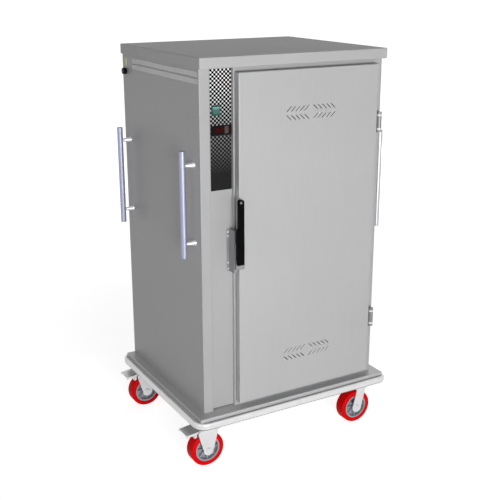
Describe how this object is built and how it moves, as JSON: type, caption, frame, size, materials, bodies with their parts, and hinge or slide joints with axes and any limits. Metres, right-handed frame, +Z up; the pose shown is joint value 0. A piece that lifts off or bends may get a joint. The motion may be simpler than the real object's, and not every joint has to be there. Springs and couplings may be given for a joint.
{
  "type": "heated banquet cart",
  "caption": "Tall insulated cabinet on a wheeled platform with a bumper rail, hinged vented door, control column, side push bars and red-tyred swivel castors.",
  "frame": {"origin": "on the floor, under the middle of the overall box", "axes": "+Z up, the door and the control column face -Y, the control column is on the -X side and the door hinges are on the +X side"},
  "size_m": [0.823, 0.6804, 1.4],
  "materials": {
    "stainless_sheet": "satin",
    "liner_steel": "satin",
    "shelf_wire": "polished",
    "chassis_steel": "satin",
    "bumper_grey": "satin",
    "push_bar_aluminium": "satin",
    "standoff_chrome": "polished",
    "castor_zinc": "zinc plated",
    "wheel_centre_metal": "painted",
    "red_tyre": "smooth",
    "hinge_steel": "satin",
    "washer_plastic": "matt",
    "latch_metal": "satin",
    "lever_black": "satin",
    "control_black": "gloss",
    "key_grey": "satin",
    "button_green": "gloss",
    "insulation_wool": "fibrous",
    "gasket_rubber": "matt",
    "heater_steel": "satin",
    "motor_metal": "satin"
  },
  "bodies": {
    "cabinet": {"chassis_frame": "chassis_steel", "platform_tray": "stainless_sheet", "bumper_strips": "bumper_grey", "bumper_corners": "bumper_grey", "castor_plates": "castor_zinc", "castor_bolts": "castor_zinc", "left_side_panel": "stainless_sheet", "right_side_panel": "stainless_sheet", "back_panel": "stainless_sheet", "lid": "stainless_sheet", "front_frame": "stainless_sheet", "fascia_panel": "stainless_sheet", "inner_liner": "liner_steel", "cabinet_insulation": "insulation_wool", "shelf_racks": "liner_steel", "wire_shelves": "shelf_wire", "heating_element": "heater_steel", "fan_motor": "motor_metal", "air_baffle": "stainless_sheet", "hinge_post_leaves": "hinge_steel", "hinge_pins": "hinge_steel", "hinge_washers": "washer_plastic", "latch_keeper": "latch_metal", "keeper_screws": "latch_metal", "push_bars_left": "push_bar_aluminium", "push_bars_right": "push_bar_aluminium", "push_bar_standoffs": "standoff_chrome", "switch_bezel": "control_black", "controller_body": "control_black", "power_gland": "control_black"},
    "door": {"door_skin": "stainless_sheet", "door_liner": "liner_steel", "door_insulation": "insulation_wool", "door_gasket": "gasket_rubber", "hinge_door_leaves": "hinge_steel", "latch_base": "latch_metal", "latch_pin": "latch_metal"},
    "latch_lever": {"latch_lever": "lever_black"},
    "fan": {"fan_impeller": "motor_metal"},
    "switch_rocker": {"switch_rocker": "button_green"},
    "controller_key": {"controller_key": "key_grey"},
    "swivel_front_left": {"fork_front_left": "castor_zinc", "axle_front_left": "castor_zinc"},
    "wheel_front_left": {"wheel_centre_front_left": "wheel_centre_metal", "tyre_front_left": "red_tyre"},
    "brake_pedal_front_left": {"brake_pedal_front_left": "castor_zinc"},
    "swivel_front_right": {"fork_front_right": "castor_zinc", "axle_front_right": "castor_zinc"},
    "wheel_front_right": {"wheel_centre_front_right": "wheel_centre_metal", "tyre_front_right": "red_tyre"},
    "swivel_rear_left": {"fork_rear_left": "castor_zinc", "axle_rear_left": "castor_zinc"},
    "wheel_rear_left": {"wheel_centre_rear_left": "wheel_centre_metal", "tyre_rear_left": "red_tyre"},
    "brake_pedal_rear_left": {"brake_pedal_rear_left": "castor_zinc"},
    "swivel_rear_right": {"fork_rear_right": "castor_zinc", "axle_rear_right": "castor_zinc"},
    "wheel_rear_right": {"wheel_centre_rear_right": "wheel_centre_metal", "tyre_rear_right": "red_tyre"}
  },
  "joints": [
    {"name": "door_hinge", "type": "hinge", "parent": "cabinet", "child": "door", "pos_m": [0.3365, -0.30975, 0.785], "axis": [0, 0, 1], "range_deg": [0, 180]},
    {"name": "latch_tilt", "type": "hinge", "parent": "door", "child": "latch_lever", "pos_m": [-0.225, -0.32675, 0.746], "axis": [1, 0, 0], "range_deg": [0, 20], "stiffness_Nm_per_rad": 0.6},
    {"name": "fan_spin", "type": "hinge", "parent": "cabinet", "child": "fan", "pos_m": [-0.1895, 0.02025, 1.18], "axis": [1, 0, 0], "continuous": true},
    {"name": "switch_rock", "type": "hinge", "parent": "cabinet", "child": "switch_rocker", "pos_m": [-0.2765, -0.26875, 1.233], "axis": [1, 0, 0], "range_deg": [0, 18]},
    {"name": "key_press", "type": "slide", "parent": "cabinet", "child": "controller_key", "axis": [0, 1, 0], "range_m": [0, 0.0015], "stiffness_N_per_m": 300},
    {"name": "swivel_front_left_turn", "type": "hinge", "parent": "cabinet", "child": "swivel_front_left", "pos_m": [-0.3065, -0.25775, 0.15], "axis": [0, 0, 1], "continuous": true},
    {"name": "wheel_front_left_roll", "type": "hinge", "parent": "swivel_front_left", "child": "wheel_front_left", "pos_m": [-0.3265, -0.25775, 0.0625], "axis": [0, 1, 0], "continuous": true},
    {"name": "brake_pedal_front_left_press", "type": "hinge", "parent": "swivel_front_left", "child": "brake_pedal_front_left", "pos_m": [-0.3525, -0.25775, 0.134], "axis": [0, -1, 0], "range_deg": [0, 10]},
    {"name": "swivel_front_right_turn", "type": "hinge", "parent": "cabinet", "child": "swivel_front_right", "pos_m": [0.3275, -0.25775, 0.15], "axis": [0, 0, 1], "continuous": true},
    {"name": "wheel_front_right_roll", "type": "hinge", "parent": "swivel_front_right", "child": "wheel_front_right", "pos_m": [0.3075, -0.25775, 0.0625], "axis": [0, 1, 0], "continuous": true},
    {"name": "swivel_rear_left_turn", "type": "hinge", "parent": "cabinet", "child": "swivel_rear_left", "pos_m": [-0.3065, 0.26625, 0.15], "axis": [0, 0, 1], "continuous": true},
    {"name": "wheel_rear_left_roll", "type": "hinge", "parent": "swivel_rear_left", "child": "wheel_rear_left", "pos_m": [-0.3265, 0.26625, 0.0625], "axis": [0, 1, 0], "continuous": true},
    {"name": "brake_pedal_rear_left_press", "type": "hinge", "parent": "swivel_rear_left", "child": "brake_pedal_rear_left", "pos_m": [-0.3525, 0.26625, 0.134], "axis": [0, -1, 0], "range_deg": [0, 10]},
    {"name": "swivel_rear_right_turn", "type": "hinge", "parent": "cabinet", "child": "swivel_rear_right", "pos_m": [0.3275, 0.26625, 0.15], "axis": [0, 0, 1], "continuous": true},
    {"name": "wheel_rear_right_roll", "type": "hinge", "parent": "swivel_rear_right", "child": "wheel_rear_right", "pos_m": [0.3075, 0.26625, 0.0625], "axis": [0, 1, 0], "continuous": true}
  ]
}
